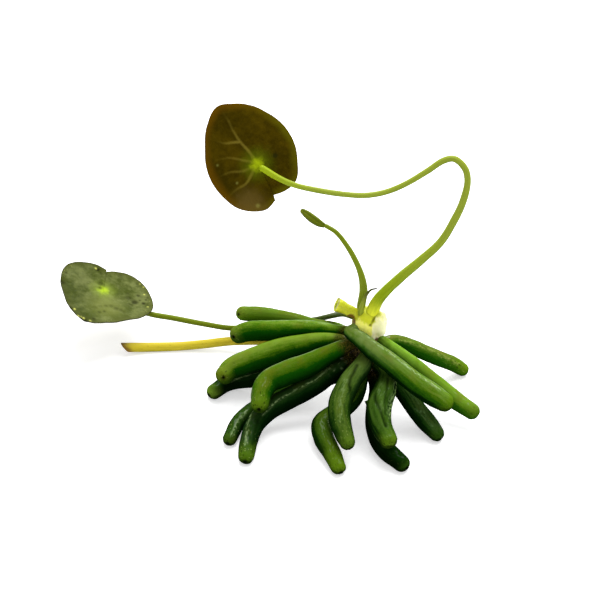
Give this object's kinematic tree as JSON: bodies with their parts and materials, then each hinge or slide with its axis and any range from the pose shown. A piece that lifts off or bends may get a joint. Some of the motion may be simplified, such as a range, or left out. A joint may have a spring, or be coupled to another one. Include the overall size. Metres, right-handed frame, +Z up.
{
  "type": "banana plant",
  "caption": "Aquarium plant with banana-shaped green tubers fanned round a short crown, slender leaf stalks, heart-shaped floating leaves and a rolled young leaf.",
  "frame": {"origin": "middle of the plant's box on the surface that it stands on", "axes": "+X to the right along the spread of the leaves, +Y away from the viewer, +Z up"},
  "size_m": [0.1237, 0.0779, 0.0823],
  "materials": {
    "crown": "pale yellow-green to cream plant tissue",
    "tuber_01": "wet, deep green plant skin, dark at the tip",
    "tuber_02": "wet, deep green plant skin, dark at the tip",
    "tuber_03": "wet, deep green plant skin, dark at the tip",
    "tuber_04": "wet, deep green plant skin, dark at the tip",
    "tuber_05": "wet, deep green plant skin, dark at the tip",
    "tuber_06": "wet, very dark green plant skin",
    "tuber_07": "wet, very dark green plant skin",
    "tuber_08": "wet, deep green plant skin, dark at the tip",
    "tuber_09": "wet, deep green plant skin, dark at the tip",
    "tuber_10": "wet, deep green plant skin, dark at the tip",
    "tuber_11": "wet, very dark green plant skin",
    "tuber_12": "wet, deep green plant skin, dark at the tip",
    "tuber_13": "wet, deep green plant skin, dark at the tip",
    "tuber_14": "wet, deep green plant skin, dark at the tip",
    "tuber_15": "wet, deep green plant skin, dark at the tip",
    "long_stalk": "smooth yellow-green stalk",
    "upper_leaf": "brown underside of a leaf with darker veins",
    "low_stalk": "smooth yellow-green stalk",
    "left_leaf": "olive leaf, pitted brown along its rim",
    "bud_stalk": "smooth olive stalk",
    "young_leaf": "smooth olive leaf, rolled up",
    "sheath": "thin olive skin with a dark tip",
    "old_stalk": "yellowed stalk with a brown cut end"
  },
  "bodies": {
    "root": {"crown": "crown", "tuber_01": "tuber_01", "tuber_02": "tuber_02", "tuber_03": "tuber_03", "tuber_04": "tuber_04", "tuber_05": "tuber_05", "tuber_06": "tuber_06", "tuber_07": "tuber_07", "tuber_08": "tuber_08", "tuber_09": "tuber_09", "tuber_10": "tuber_10", "tuber_11": "tuber_11", "tuber_12": "tuber_12", "tuber_13": "tuber_13", "tuber_14": "tuber_14", "tuber_15": "tuber_15", "long_stalk": "long_stalk", "upper_leaf": "upper_leaf", "low_stalk": "low_stalk", "left_leaf": "left_leaf", "bud_stalk": "bud_stalk", "young_leaf": "young_leaf", "sheath": "sheath", "old_stalk": "old_stalk"}
  },
  "joints": []
}
